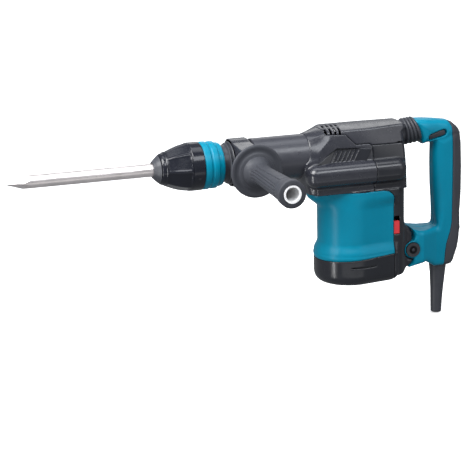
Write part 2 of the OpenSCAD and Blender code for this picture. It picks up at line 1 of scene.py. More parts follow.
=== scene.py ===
"""Demolition hammer with a chisel, a side grip and a sprung rear handle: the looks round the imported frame.

Shapes are worked out in millimetres and turned into metres when a mesh is made. The casing, the motor
housing and the handle are smooth solids, each given by a function that is negative inside it. One such
body is shared out between the neighbouring shells, so that their surfaces run on across every seam.
"""

import math

import bpy
import numpy as np
from mathutils import Matrix, Vector


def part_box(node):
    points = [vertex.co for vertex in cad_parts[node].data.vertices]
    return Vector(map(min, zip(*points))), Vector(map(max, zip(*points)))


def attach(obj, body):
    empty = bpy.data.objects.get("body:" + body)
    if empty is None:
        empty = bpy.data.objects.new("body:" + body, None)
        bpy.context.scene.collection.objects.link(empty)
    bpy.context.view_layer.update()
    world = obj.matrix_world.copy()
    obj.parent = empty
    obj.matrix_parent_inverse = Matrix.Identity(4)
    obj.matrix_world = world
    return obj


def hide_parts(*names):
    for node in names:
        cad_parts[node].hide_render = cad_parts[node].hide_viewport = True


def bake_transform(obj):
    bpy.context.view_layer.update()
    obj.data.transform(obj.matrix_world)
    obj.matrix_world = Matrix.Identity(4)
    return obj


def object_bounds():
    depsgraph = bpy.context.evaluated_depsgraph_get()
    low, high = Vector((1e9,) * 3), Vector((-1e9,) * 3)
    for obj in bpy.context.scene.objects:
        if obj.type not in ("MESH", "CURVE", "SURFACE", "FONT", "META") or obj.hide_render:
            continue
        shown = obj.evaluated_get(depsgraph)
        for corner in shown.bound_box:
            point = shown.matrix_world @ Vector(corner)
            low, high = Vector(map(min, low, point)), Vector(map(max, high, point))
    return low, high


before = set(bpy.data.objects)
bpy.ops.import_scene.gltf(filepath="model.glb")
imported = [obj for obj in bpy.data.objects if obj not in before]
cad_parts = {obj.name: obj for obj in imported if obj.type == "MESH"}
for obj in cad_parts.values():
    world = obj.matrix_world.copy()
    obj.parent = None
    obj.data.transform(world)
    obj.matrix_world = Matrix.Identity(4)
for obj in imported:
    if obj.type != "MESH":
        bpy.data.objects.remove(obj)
cad_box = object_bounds()

MM = 0.001
GRID = 1.15


# ---- Sizes, in millimetres, from the frame ----

def box_mm(node):
    """Low and high corner of a CAD node."""
    low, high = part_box(node)
    return np.array(low) / MM, np.array(high) / MM


HOUSING_LOW, HOUSING_HIGH = box_mm("upper_housing")
COVER_LOW, COVER_HIGH = box_mm("top_cover")
REAR_LOW, REAR_HIGH = box_mm("rear_cover")
MOTOR_LOW, MOTOR_HIGH = box_mm("motor_housing")
BASE_LOW, BASE_HIGH = box_mm("bottom_cover")
ARM_LOW, ARM_HIGH = box_mm("handle_left")
STRIP_LOW, STRIP_HIGH = box_mm("handle_back")
LEVER_LOW, LEVER_HIGH = box_mm("switch_lever")
DIAL_LOW, DIAL_HIGH = box_mm("speed_dial")
LAMPS_LOW, LAMPS_HIGH = box_mm("status_lamps")
CAPS_LOW, CAPS_HIGH = box_mm("pivot_caps")
GUARD_LOW, GUARD_HIGH = box_mm("cord_guard")
FLANGE_LOW, FLANGE_HIGH = box_mm("grip_flange")
CHUCK_LOW, CHUCK_HIGH = box_mm("chuck_cover")
BARREL_LOW, BARREL_HIGH = box_mm("barrel")
COLLAR_LOW, COLLAR_HIGH = box_mm("clamp_collar")
ARMATURE_LOW, ARMATURE_HIGH = box_mm("armature")

CROWN_Z = COVER_HIGH[2]
FLOOR_Z = HOUSING_LOW[2]
BULGE_Y = HOUSING_HIGH[1]
BASE_Z = BASE_LOW[2]
REAR_FACE = COVER_HIGH[0] - 3.2
SPLIT_X = COVER_LOW[0] + 67
MOTOR_X = (ARMATURE_LOW[0] + ARMATURE_HIGH[0]) / 2
PIVOT_X = (CAPS_LOW[0] + CAPS_HIGH[0]) / 2
PIVOT_Z = (CAPS_LOW[2] + CAPS_HIGH[2]) / 2
BARREL_R = BARREL_HIGH[2]
GRIP_X = (FLANGE_LOW[0] + FLANGE_HIGH[0]) / 2
GUARD_X = (GUARD_LOW[0] + GUARD_HIGH[0]) / 2
GRIP_START = -FLANGE_HIGH[1]
GRIP_END = -box_mm("side_grip")[0][1]
EAR_Y = CAPS_HIGH[1] - 0.4

# ---- Sizes given, in millimetres ----

SEAM = 0.16
SEAM_EDGE = 1.1
WALL = 3.4
SKIRT_SPREAD = 5.2
RECESS_PLATE = 0.5
STEM_TILT = math.radians(18)

# Side views as X and Z.
NECK_BLOCK = [(42, -4), (44, -30), (55, -70), (92, -70), (92, -4)]
RECESS = [(88, 13.8), (140, 11.2), (127, -12), (48, -12), (54, -6)]
COVER_LINE = [(74.5, 33.2), (103, 31.5), (117, 17.3), (137.5, 17), (140, 14.6), (260, 12.2), (260, 90), (74.5, 90)]
SHOULDER = [(178, -90), (187, -99), (192.5, -106.5), (200, -113.5), (204, -120), (204.8, -127.8), (204, -136),
            (197, -142), (196, -149), (199, -155.5), (205, -158.2), (205.2, -161.5), (203.4, -164.2),
            (196.5, -169.7), (190, -174.5), (178, -178)]
STEM = [(214, 39.6), (232, 39), (251, 37.2), (266, 34.8), (275, 30.6), (283, 23.6), (287.6, 14.3), (262, 0),
        (250, 4.6), (234, 4.6), (225.4, 2.6)]
GRIP = [(245, 10), (270, 24), (284.5, 20), (288.6, 12), (290.3, 0), (291.3, -34), (291, -70), (289.4, -95),
        (285, -124), (252, -130), (247.6, -100), (245, -60), (244.4, -28)]
ARM = [(203, -113), (209.5, -117), (218, -119.6), (230, -120.4), (262, -118), (281, -114), (286, -126),
       (285, -139), (282.4, -153), (279, -162), (275.6, -171.5), (272, -176.8), (266, -178), (244, -176.8),
       (237, -172), (228, -167), (201, -172), (199.2, -170), (205, -165), (206.6, -161), (206.6, -134),
       (209, -128), (207.4, -120)]
STRIP = [(261, 60), (267, 36), (271.4, 25.6), (272.4, -7), (272.4, -51), (271.7, -95), (271.2, -115),
         (268.4, -128.6), (262.4, -146), (260.4, -161), (257, -200), (330, -200), (330, 60)]

# Half widths of the handle along X, at the stem and at the arm.
STEM_WIDTHS = [214, 232, 250, 275, 290], [20.5, 19.3, 16.6, 15.5, 12.5]
ARM_WIDTHS = [180, 222, 246, 262, 280, 292], [EAR_Y, EAR_Y - 1, 19, 16.4, 14.8, 12.5]


# ---- Distances ----

def smooth_min(a, b, k):
    """The smaller of two distances, with the corner between them rounded over k."""
    h = np.maximum(k - np.abs(a - b), 0) / k
    return np.minimum(a, b) - h * h * k / 4


def smooth_max(a, b, k):
    """The larger of two distances, with the corner between them rounded over k."""
    return -smooth_min(-a, -b, k)


def ease(low, high, value):
    """Smooth step from 0 at low to 1 at high, in either direction."""
    t = np.clip((value - low) / (high - low), 0, 1)
    return t * t * (3 - 2 * t)


def rounded_box(a, b, low, high, radius):
    """Distance to a rounded rectangle in the plane of a and b."""
    qa = np.abs(a - (low[0] + high[0]) / 2) - (high[0] - low[0]) / 2 + radius
    qb = np.abs(b - (low[1] + high[1]) / 2) - (high[1] - low[1]) / 2 + radius
    return np.hypot(np.maximum(qa, 0), np.maximum(qb, 0)) + np.minimum(np.maximum(qa, qb), 0) - radius


def polygon(a, b, points):
    """Distance to a polygon in the plane of a and b."""
    best = np.full(a.shape, 1e9)
    inside = np.zeros(a.shape, bool)
    for (x0, y0), (x1, y1) in zip(points, points[1:] + points[:1]):
        ex, ey = x1 - x0, y1 - y0
        wx, wy = a - x0, b - y0
        t = np.clip((wx * ex + wy * ey) / (ex * ex + ey * ey), 0, 1)
        best = np.minimum(best, (wx - ex * t) ** 2 + (wy - ey * t) ** 2)
        if ey:
            crosses = ((y0 <= b) != (y1 <= b)) & (wx < ex * wy / ey)
            inside ^= crosses
    return np.where(inside, -1, 1) * np.sqrt(best)


def tapered_plan(x, y, front_x, front_r, rear_x, rear_r):
    """Distance to the plan of a round front that tapers to a round rear."""
    length = rear_x - front_x
    lean = (front_r - rear_r) / length
    rise = math.sqrt(1 - lean * lean)
    side, along = np.abs(y), x - front_x
    k = -lean * side + rise * along
    front = np.hypot(side, along) - front_r
    rear = np.hypot(side, along - length) - rear_r
    flank = side * rise + along * lean - front_r
    return np.where(k < 0, front, np.where(k > rise * length, rear, flank))


def facet(a, b, start, end):
    """Signed distance from the line through two points, positive on its left."""
    da, db = end[0] - start[0], end[1] - start[1]
    size = math.hypot(da, db)
    return ((b - start[1]) * da - (a - start[0]) * db) / size


# ---- Casing and motor housing ----

def casing(x, y, z):
    """The grey casing: a faceted section that grows out of the round barrel, with a long bulge each side."""
    side = np.abs(y)
    foot, waist, shoulder, edge = (44, -34), (40, -8), (38, 14), (28.5, 37)
    crown = z - (CROWN_Z + 0.8 - y * y / 400)
    slope = facet(side + 7 * ease(125, 200, x), z, shoulder, edge) * -1
    flank = facet(side, z, waist, shoulder) * -1
    skirt = facet(side, z, foot, waist) * -1
    section = smooth_max(smooth_max(crown, slope, 2), flank, 6)
    section = smooth_max(section, smooth_max(skirt, side - foot[0], 4), 6)
    collar = np.hypot(y, z) - BARREL_R - 0.7
    front = 50 - 9 * ease(12, -22, z)
    full = 61 + 20 * ease(6, 34, z) - 4 * ease(8, -12, z)
    grown = smooth_max(smooth_min((x - front) / (full - front), 1, 0.1), 0, 0.1)
    shell = (1 - grown) * collar + grown * section
    shell = smooth_max(shell, front + 0.4 - x, 1.2)
    block = smooth_max(polygon(x, z, NECK_BLOCK), side - 33, 6)
    shell = smooth_min(shell, block, 9)
    shell = smooth_max(shell, -vent_recess(x, z, side), 0.9)
    shell = smooth_min(shell, side_bulge(x, side, z), 4)
    hood = 6 * ease(27, 33, z) * ease(30, 20, side)
    shell = smooth_max(shell, x - REAR_FACE - hood, 7)
    return smooth_max(shell, FLOOR_Z - z, 1)


def side_bulge(x, side, z):
    """The long rounded bulge low on each side, with a ball end at the front and at the rear."""
    radius, middle_z, flat = 15, -22.5, 3
    along = np.clip(x, HOUSING_LOW[0] + radius - 3, REAR_FACE - radius - 2)
    tall = np.maximum(np.abs(z - middle_z) - flat, 0) * 1.15
    return np.sqrt((x - along) ** 2 + (side - BULGE_Y + radius) ** 2 + tall ** 2) - radius


def recess_floor(x, z):
    """How far out the floor of the side recess lies; it comes up to the wall at both ends."""
    return 34.3 - 0.17 * z + 4.5 * ease(86, 60, x) + 5.2 * ease(112, 138, x)


def vent_recess(x, z, side):
    """The slanted recess of each side wall, sharp along its top and open towards the bulge."""
    return np.maximum(polygon(x, z, RECESS), recess_floor(x, z) - side)


def vent_shade_plate(p):
    """A louvred plate of darker plastic in each recess, with six leaning grooves; its dark colour is painted shade
    for the shade and dark reflection in the recess.
    """
    x, y, z = p.T
    side = np.abs(y)
    floor = recess_floor(x, z)
    plate = smooth_max(polygon(x, z, RECESS) + 0.4, side - floor - RECESS_PLATE, 0.5)
    plate = np.maximum(plate, floor - 2.4 - side)
    first, pitch, last, half_width, depth = 71.5, 5.6, 5, 1.3, 1.3
    lean = (x - 0.56 * z) * 0.872
    nearest = np.clip(np.round((lean - first) / pitch), 0, last)
    across = np.abs(lean - first - pitch * nearest) - half_width
    groove = np.maximum(np.maximum(across, np.abs(z - 2.6) - 8.2), floor - depth - side)
    return smooth_max(plate, -groove, 0.7)


def top_vents(x, y, z, shell):
    """Four slanted slots in the crown, each in two parts."""
    first, pitch, half_width = 80, 6.6, 1.5
    for i in range(4):
        across = np.abs(x - first - pitch * i - 0.17 * y) - half_width
        for low, high in ((-4, 13), (-31, -9)):
            slot = np.maximum(np.maximum(across, np.maximum(low - y, y - high)), 24 - z)
            shell = smooth_max(shell, -slot, 0.6)
    return shell


def waist_plan(x, y):
    """Distance to the motor housing's outline, seen from above, at its waist."""
    return tapered_plan(x, y, MOTOR_X, 45, 172, 36)


def motor(x, y, z):
    """The waisted motor housing with its flare under the casing, and the base under it."""
    flare = smooth_min(tapered_plan(x, y, 80, 24, 125, 46), tapered_plan(x, y, 125, 46, 176, 44), 4)
    t = ease(-77, -57, z)
    plan = waist_plan(x, y) * (1 - t) + flare * t
    plan = plan - SKIRT_SPREAD * ease(-125, -140, z)
    ridge = 0.7 * ease(-147, -145, z) * ease(-141, -143.4, z)
    plan = smooth_max(plan - ridge, x - 178, 2)
    body = smooth_max(plan, BASE_Z - 1.8 - z, 17)
    return smooth_max(body, z + 49, 1)


def column(x, y, z):
    """The black column behind the motor, with the shoulder that covers the handle's pivot."""
    side = np.abs(y)
    post = np.maximum(rounded_box(x, side, (120, -60), (191.5, 36.9), 11), z + 40)
    post = smooth_max(post, BASE_Z + 4 - z, 9)
    shoulder = smooth_max(polygon(x, z, SHOULDER), side - 30.5, 7)
    toe = smooth_max(rounded_box(x, z, (165, -181), (189, -170), 3.5), side - 27, 6)
    post = smooth_min(smooth_min(post, shoulder, 5), toe, 3)
    return smooth_max(post, 13.6 - np.hypot(x - PIVOT_X, z - PIVOT_Z), 1.5)


def whole_body(p):
    """Casing, motor housing, base and column as one body."""
    x, y, z = p.T
    lower = smooth_min(motor(x, y, z), column(x, y, z), 4)
    return smooth_min(casing(x, y, z), lower, 2.5)


def border_z(x):
    """Height of the line between the motor housing and the base, which rises to the rear."""
    return MOTOR_LOW[2] + 0.055 * (x - MOTOR_LOW[0])


def above_seam(x, z):
    """Side view of the top cover."""
    return polygon(x, z, COVER_LINE)


def motor_zone(x, z):
    """Side view of the teal motor housing, with a round corner at its upper rear."""
    corner = smooth_max(x - BASE_HIGH[0], z - FLOOR_Z, 21)
    return np.maximum(corner, border_z(x) - z)


def base_zone(x, z):
    """Side view of the bottom cover."""
    return np.maximum(z - border_z(x), x - BASE_HIGH[0])


def upper_zone(x, z):
    """Side view of the front upper housing."""
    return np.maximum(np.maximum(x - SPLIT_X, FLOOR_Z - z), -above_seam(x, z))


def rear_zone(x, z):
    """Side view of the rear cover: all behind and between the other shells."""
    others = np.minimum(np.minimum(motor_zone(x, z), base_zone(x, z)), above_seam(x, z))
    return np.maximum(-others, np.minimum(np.maximum(SPLIT_X - x, -52 - z), 160 - x))


def shell_of(zone, extra=None):
    """A shell of the shared body inside one zone of the side view, with soft edges along its seams.

    The front end of the top cover's seam is faint. extra cuts the shell's own openings.
    """
    def shape(p):
        x, y, z = p.T
        skin = whole_body(p)
        faint = (1 - ease(99, 107, x)) * (z > 22)
        solid = smooth_max(skin, zone(x, z) + SEAM * (1 - 0.7 * faint), SEAM_EDGE * (1 - 0.75 * faint))
        solid = smooth_max(solid, -(skin + WALL), 0.6)
        return extra(x, y, z, solid) if extra else solid
    return shape


def lever_window(x, y, z, solid):
    """The openings of the rear cover: the lever's bezel, the dial's hole and the lamps' holes."""
    travel, gap_x, gap_z = 6, 1.1, 1.2
    opening = rounded_box(x, z, (LEVER_LOW[0] - gap_x, LEVER_LOW[2] - gap_z),
                          (LEVER_HIGH[0] + gap_x, LEVER_HIGH[2] + travel + gap_z), 2)
    near = y - LEVER_HIGH[1] - 1
    solid = smooth_max(solid, -np.maximum(opening, near), 0.8)
    dial_r = (DIAL_HIGH[0] - DIAL_LOW[0]) / 2 + 0.5
    dial = np.hypot(x - (DIAL_LOW[0] + DIAL_HIGH[0]) / 2, z - (DIAL_LOW[2] + DIAL_HIGH[2]) / 2) - dial_r
    solid = smooth_max(solid, -np.maximum(dial, 20 - y), 0.8)
    for lamp_x in (LAMPS_LOW[0] + 2.3, LAMPS_HIGH[0] - 2.3):
        lamp = np.hypot(x - lamp_x, z - (LAMPS_LOW[2] + LAMPS_HIGH[2]) / 2) - 2.6
        solid = smooth_max(solid, -np.maximum(lamp, 30 - y), 0.6)
    return solid


def base_slits(x, y, z, solid):
    """A slit high on each side of the base, and the air slots under it."""
    slit = rounded_box(x, z, (104, -158.4), (142, -156.8), 0.8)
    solid = smooth_max(solid, -np.maximum(slit, 3 - waist_plan(x, y)), 0.7)
    for i in range(6):
        slot = rounded_box(x, y, (MOTOR_X - 30 + i * 10, -18), (MOTOR_X - 26 + i * 10, 18), 2)
        solid = smooth_max(solid, -np.maximum(slot, z + 172), 0.8)
    return solid


# ---- Handle ----

def handle_profile(x, z):
    """Side view of the D handle: stem, grip and lower arm, softly joined."""
    knuckle = np.hypot(x - PIVOT_X, z - PIVOT_Z) - 12.6
    upper = smooth_min(polygon(x, z, STEM), polygon(x, z, GRIP), 5)
    return smooth_min(upper, np.minimum(polygon(x, z, ARM), knuckle), 7)


def handle_solid(p):
    """The handle in one: slanted front of the stem, forked ears, seats for the caps and the guard's hole."""
    x, y, z = p.T
    side = np.abs(y)
    low = ease(-70, -112, z)
    width = np.interp(x, *STEM_WIDTHS) * (1 - low) + np.interp(x, *ARM_WIDTHS) * low
    boss = np.hypot(x - PIVOT_X, z - PIVOT_Z)
    roundness = 16 - 8 * ease(-96, -118, z) - 5 * ease(22, 14, boss)
    solid = smooth_max(handle_profile(x, z), side - width, roundness)
    stem_cut = (220 - x) * math.cos(STEM_TILT) + (24 - z) * math.sin(STEM_TILT)
    solid = np.where(z > -20, smooth_max(solid, stem_cut, 1.5), solid)
    fork = np.maximum(side - 14.5, x - 220.5)
    fork = np.maximum(fork, z + np.where(x < 206, 100, 130.5))
    solid = smooth_max(solid, -fork, 1.5)
    cap_seat = np.maximum(boss - 10.9, CAPS_HIGH[1] - 3.6 - side)
    solid = smooth_max(solid, -cap_seat, 0.8)
    guard_hole = np.maximum(np.hypot(x - GUARD_X, y) - 7.9, z + 160)
    return smooth_max(solid, -guard_hole, 0.6)


def inlay(x, z):
    """Distance to the middle line of the window high on each side of the handle, which rises to the rear."""
    middle_x, middle_z, half_x, half_z = 248.4, 16, 9.4, 2.4
    along = np.clip(((x - middle_x) * half_x + (z - middle_z) * half_z) / 94, -1, 1)
    return np.hypot(x - middle_x - half_x * along, z - middle_z - half_z * along)


def handle_half(sign):
    """One teal half of the handle, on the side that sign gives."""
    def shape(p):
        x, y, z = p.T
        solid = smooth_max(handle_solid(p), -polygon(x, z, STRIP) + SEAM, SEAM_EDGE)
        solid = smooth_max(solid, -np.maximum(inlay(x, z) - 5.2, 10.6 - np.abs(y)), 0.9)
        return smooth_max(solid, SEAM / 2 - sign * y, 0.7)
    return shape


def handle_strip(p):
    """The black strip down the back of the handle."""
    x, y, z = p.T
    return smooth_max(handle_solid(p), polygon(x, z, STRIP) + SEAM, SEAM_EDGE)


def handle_inlays(p):
    """The dark inlay sunk in each window."""
    x, y, z = p.T
    along = inlay(x + 0.9, z + 0.2)
    plug = smooth_max(handle_solid(p) + 1.2, along - 3.9, 1.6)
    return smooth_max(plug, 10.8 - np.abs(y), 0.5)


# ---- Meshes ----

def settle(shape, verts, reach):
    """Slides points onto the surface where shape is zero."""
    nudge = 0.02
    for _ in range(3):
        here = shape(verts)
        slope = np.stack([(shape(verts + nudge * np.eye(3)[i]) - here) / nudge for i in range(3)], 1)
        steep = np.maximum((slope ** 2).sum(1), 0.2)
        move = -slope * (here / steep)[:, None]
        size = np.linalg.norm(move, axis=1, keepdims=True)
        verts = verts + move * np.minimum(1, reach / np.maximum(size, 1e-9))
    return verts


def even_out(verts, faces):
    """Each point halfway to the middle of the faces round it."""
    middles = verts[faces].mean(1)
    total, count = np.zeros_like(verts), np.zeros(len(verts))
    for corner in range(4):
        np.add.at(total, faces[:, corner], middles)
        np.add.at(count, faces[:, corner], 1)
    return (verts + total / np.maximum(count, 1)[:, None]) / 2


def isosurface(shape, low, high, step):
    """Quads over the surface where shape is zero, between two corners."""
    axes = [np.arange(a - 2 * step, b + 2 * step, step) for a, b in zip(low, high)]
    counts = [len(a) for a in axes]
    points = np.stack(np.meshgrid(*axes, indexing="ij"), axis=-1).reshape(-1, 3)
    field = shape(points).reshape(counts)
    solid = field < 0
    corners = [(i, j, k) for i in (0, 1) for j in (0, 1) for k in (0, 1)]
    filled = sum(solid[tuple(slice(o, n - 1 + o) for o, n in zip(c, counts))].astype(int) for c in corners)
    cells = np.argwhere((filled > 0) & (filled < 8))
    index = np.full([n - 1 for n in counts], -1)
    index[tuple(cells.T)] = np.arange(len(cells))
    values = {c: field[tuple((cells + c).T)] for c in corners}
    place, hits = np.zeros((len(cells), 3)), np.zeros(len(cells))
    for start in corners:
        for axis in range(3):
            if start[axis]:
                continue
            end = tuple(1 if i == axis else v for i, v in enumerate(start))
            fa, fb = values[start], values[end]
            cut = (fa < 0) != (fb < 0)
            t = fa[cut] / (fa[cut] - fb[cut])
            place[cut] += np.array(start) + t[:, None] * (np.array(end) - start)
            hits[cut] += 1
    verts = np.array([a[0] for a in axes]) + (cells + place / hits[:, None]) * step
    verts = settle(shape, verts, 0.35 * step)
    faces = []
    for axis in range(3):
        u, v = (axis + 1) % 3, (axis + 2) % 3
        first = [slice(None)] * 3
        second = [slice(None)] * 3
        first[axis], second[axis] = slice(0, -1), slice(1, None)
        a, b = solid[tuple(first)], solid[tuple(second)]
        edges = np.argwhere(a != b)
        outward = a[tuple(edges.T)]
        ring = []
        for du, dv in ((-1, -1), (0, -1), (0, 0), (-1, 0)):
            cell = edges.copy()
            cell[:, u] += du
            cell[:, v] += dv
            ring.append(index[tuple(cell.T)])
        quads = np.stack(ring, 1)
        quads[~outward] = quads[~outward][:, ::-1]
        faces.append(quads)
    faces = np.concatenate(faces)
    return settle(shape, even_out(verts, faces), 0.25 * step), faces


def new_piece(name, verts, faces, sharp=None):
    """A smooth object from points in millimetres; edges steeper than sharp degrees stay sharp."""
    mesh = bpy.data.meshes.new(name)
    mesh.from_pydata((np.asarray(verts) * MM).tolist(), [], np.asarray(faces).tolist()
                     if isinstance(faces, np.ndarray) else faces)
    mesh.validate()
    for face in mesh.polygons:
        face.use_smooth = True
    if sharp:
        mesh.set_sharp_from_angle(angle=math.radians(sharp))
    piece = bpy.data.objects.new(name, mesh)
    bpy.context.scene.collection.objects.link(piece)
    return piece


def finish_piece(piece, body, slot, *nodes, finish=None):
    """A piece's body, slot and material, and the CAD nodes that it stands for."""
    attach(piece, body)
    if nodes:
        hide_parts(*nodes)
    piece.data.materials.append(material(finish or slot))


def solid_piece(name, shape, low, high, body, slot, *nodes, step=None):
    """A piece from a distance function, on a grid round the given corners."""
    verts, faces = isosurface(shape, np.array(low) - 2, np.array(high) + 2, step or GRID)
    finish_piece(new_piece(name, verts, faces), body, slot, *nodes)


def ring_mesh(profile, place, segments):
    """A surface round an axis. profile is a closed loop of (along, radius), and place gives each point."""
    angles = np.arange(segments) * 2 * math.pi / segments
    verts = [place(s, r, a) for a in angles for s, r in profile]
    n = len(profile)
    faces = []
    for i in range(segments):
        for j in range(n):
            k, m = (i + 1) % segments, (j + 1) % n
            faces.append((i * n + j, i * n + m, k * n + m, k * n + j))
    return np.array(verts), faces


def soften(loop, radius, steps=5):
    """The closed loop with its corners rounded."""
    points = [np.array(p, float) for p in loop]
    out = []
    for i, p in enumerate(points):
        before, after = points[i - 1] - p, points[(i + 1) % len(points)] - p
        cut = min(radius, np.linalg.norm(before) * 0.45, np.linalg.norm(after) * 0.45)
        a = p + before / np.linalg.norm(before) * cut
        b = p + after / np.linalg.norm(after) * cut
        for t in np.linspace(0, 1, steps):
            out.append(tuple((1 - t) ** 2 * a + 2 * t * (1 - t) * p + t * t * b))
    return out


def stretch(loop, longest):
    """The closed loop with extra points wherever two are further apart than longest."""
    out = []
    for a, b in zip(loop, loop[1:] + loop[:1]):
        count = max(1, math.ceil(math.dist(a, b) / longest))
        out += [(a[0] + (b[0] - a[0]) * i / count, a[1] + (b[1] - a[1]) * i / count) for i in range(count)]
    return out


# ---- Turned pieces ----

def chuck_cover():
    """Ogive cover with long shallow flutes between its nose ring and its rear band."""
    front, rear = CHUCK_LOW[0], CHUCK_HIGH[0]
    rows = np.linspace(front, rear, 60)

    def outer(x):
        return 20.1 + 13.5 * math.sin(math.radians(min(90, 90 * (x - front) / 45)))
    loop = [(x, outer(x)) for x in rows] + [(rear, 21.6), (front + 6, 21.6 - 5), (front, 17.5)]
    loop = [(loop[0][0] + 0.4, loop[0][1] - 0.9)] + loop[1:59] + [(rear - 0.7, 33.5), (rear, 32.6)] + loop[60:]
    loop = stretch(loop, 1.6)
    pitch = math.pi / 4

    def place(x, r, a):
        if r > 18.2 and r > outer(x) - 1.5:
            across = abs((a % pitch) - pitch / 2)
            flat = (r - 0.5) * math.cos(0.86 * pitch / 2) / math.cos(across)
            panel = float(ease(front + 7.5, front + 10, x) * (1 - ease(rear - 20, rear - 18.5, x))
                          * (1 - ease(0.8 * pitch / 2, 0.88 * pitch / 2, across)))
            r = r * (1 - panel) + flat * panel
            r = r - 0.8 * float(1 - ease(0.3, 0.9, abs(x - front - 5.6)))
            r = r - 0.7 * float(1 - ease(0.2, 0.7, abs(x - rear + 16.6)))
            mark = abs(a - math.radians(197)) * 33 / 2.6 + abs(x - rear + 9.5) / 3.4
            r = r - 0.9 * float(1 - ease(0.75, 1.1, mark))
        return x, r * math.cos(a), r * math.sin(a)
    verts, faces = ring_mesh(loop, place, 192)
    finish_piece(new_piece("chuck_cover_fluted", verts, faces, sharp=50), "chuck", "charcoal_plastic",
                 "chuck_cover", finish="charcoal_gloss")


def clamp_collar(p):
    """Ring round the barrel with a flat-topped block that reaches the guard disc."""
    x, y, z = p.T
    around = np.hypot(y, z)
    block = np.maximum(np.abs(z) - 30.2 - 0.07 * (y + 20), np.maximum(COLLAR_LOW[1] - y, y - 21))
    body = smooth_min(around - 32.9, smooth_max(block, np.abs(z) + np.abs(y + 18) - 63, 3), 1.5)
    body = smooth_max(body, np.maximum(COLLAR_LOW[0] - 1.9 - x, x - COLLAR_HIGH[0] + 0.3 * np.maximum(z, 0)), 1.2)
    return smooth_max(body, 31.6 - around, 0.4)


def neck_seal():
    """Rubber seal of two lips between the sleeve and the barrel."""
    start, end = box_mm("locking_sleeve")[1][0], BARREL_LOW[0] - 0.1
    loop = [(start - 2, 23), (start - 2, 25.6), (start + 8.2, 25.8), (start + 8.6, 27.8), (start + 9.6, 28.6),
            (start + 10.6, 28.2), (start + 10.9, 26.4), (end - 1.9, 26.4), (end - 1.6, 29.6), (end - 0.6, 30.2),
            (end - 0.1, 29.8), (end - 0.1, 23)]

    def place(s, r, a):
        return s, r * math.cos(a), r * math.sin(a)
    verts, faces = ring_mesh(stretch(loop, 2), place, 96)
    finish_piece(new_piece("neck_seal", verts, faces, sharp=50), "housing", "rubber", "neck_washer")


def pivot_heads():
    """Recessed bolt head in the middle of each pivot cap: a near-black ring, painted shade of a deep bore, round a
    domed stud.
    """
    face = CAPS_HIGH[1]
    ring = soften([(face - 0.6, 2.6), (face + 0.5, 2.6), (face + 0.5, 5.7), (face - 0.6, 6.1)], 0.4, 4)
    stud = soften([(face - 0.6, 0.15), (face + 0.9, 0.15), (face + 0.7, 2.0), (face - 0.6, 2.5)], 0.3, 4)
    for name, loop, finish in (("pivot_head_rings", ring, "deep_black"), ("pivot_head_studs", stud, "grip_rubber")):
        verts, faces = [], []
        for sign in (-1, 1):
            def place(s, r, a, sign=sign):
                return PIVOT_X + r * math.cos(a), sign * s, PIVOT_Z + r * math.sin(a)
            points, quads = ring_mesh(loop, place, 48)
            faces += [tuple(i + len(verts) for i in (quad if sign < 0 else quad[::-1])) for quad in quads]
            verts += points.tolist()
        finish_piece(new_piece(name, np.array(verts), faces, sharp=50), "handle", "black_plastic", finish=finish)


def along_grip(s, r, a):
    """Point at distance s along the side grip, at radius r and angle a."""
    return GRIP_X + r * math.cos(a), -s, r * math.sin(a)


def grip_disc():
    """Dished guard disc with a soft raised ring."""
    f, edge = GRIP_START, FLANGE_HIGH[2]
    loop = [(f, 5.3), (f, 20), (f + 1.6, edge - 4), (f + 3.2, edge - 0.8), (f + 5.2, edge),
            (f + 7.2, edge - 0.9), (f + 7.9, edge - 3.6), (f + 6.9, edge - 8), (f + 7.2, edge - 10.5),
            (f + 8.6, edge - 12.5), (f + 9.4, 22), (f + 10.5, 19), (f + 10.5, 5.3)]
    verts, faces = ring_mesh(stretch(soften(loop, 3, 6), 2.5), along_grip, 112)
    finish_piece(new_piece("grip_flange_dished", verts, faces, sharp=50), "side_grip", "grip_rubber",
                 "grip_flange")


def grip_radius(s):
    """Radius of the side grip at distance s, thickest at its two ends."""
    f, e = GRIP_START, GRIP_END
    return float(np.interp(s, [f + 10.5, f + 13, f + 17, f + 24, f + 34, f + 60, f + 95, e - 24, e - 19, e - 15, e],
                           [22.5, 20.2, 17.6, 15.3, 14.2, 14.7, 15.9, 16.7, 17.3, 18.7, 19.2]))


def side_grip():
    """Rubber grip with a padded panel on each of its four sides, two of them grooved, and an end collar."""
    f, e = GRIP_START, GRIP_END
    rows = [f + 10.7 + i * (e - f - 11.3) / 110 for i in range(111)]
    smooth_r = np.convolve(np.pad([grip_radius(s) for s in rows], 3, mode="edge"), np.ones(7) / 7, "valid")
    loop = list(zip(rows, smooth_r)) + [(e, 18.4), (e, 12.3), (e - 60, 12.3), (e - 60, 9), (e - 63, 5.3),
                                        (f + 10.7, 5.3)]
    start, end = f + 22, e - 26
    half, corner, quarter = 8.6, 4.5, math.pi / 2

    def place(s, r, a):
        if r > 13:
            panel = int(((a + quarter / 2) / quarter) % 4)
            across = ((a + quarter / 2) % quarter - quarter / 2) * r
            qa = max(abs(across) - half + corner, 0)
            qs = max(abs(s - (start + end) / 2) - (end - start) / 2 + corner, 0)
            inside = corner - math.hypot(qa, qs)
            inside = min(inside, half - abs(across) if qs == 0 else inside)
            r = r - 1.1 * float(1 - ease(0.2, 1.1, abs(inside)))
            if inside > 0.8 and panel % 2 == 0:
                for groove in (-4.6, 0, 4.6):
                    deep = float(1 - ease(0.5, 1.3, abs(across - groove)))
                    r = r - 1.0 * deep * float(ease(1.5, 3.5, inside + 1))
        return along_grip(s, r, a)
    verts, faces = ring_mesh(loop, place, 168)
    finish_piece(new_piece("side_grip_padded", verts, faces, sharp=60), "side_grip", "grip_rubber",
                 "side_grip")


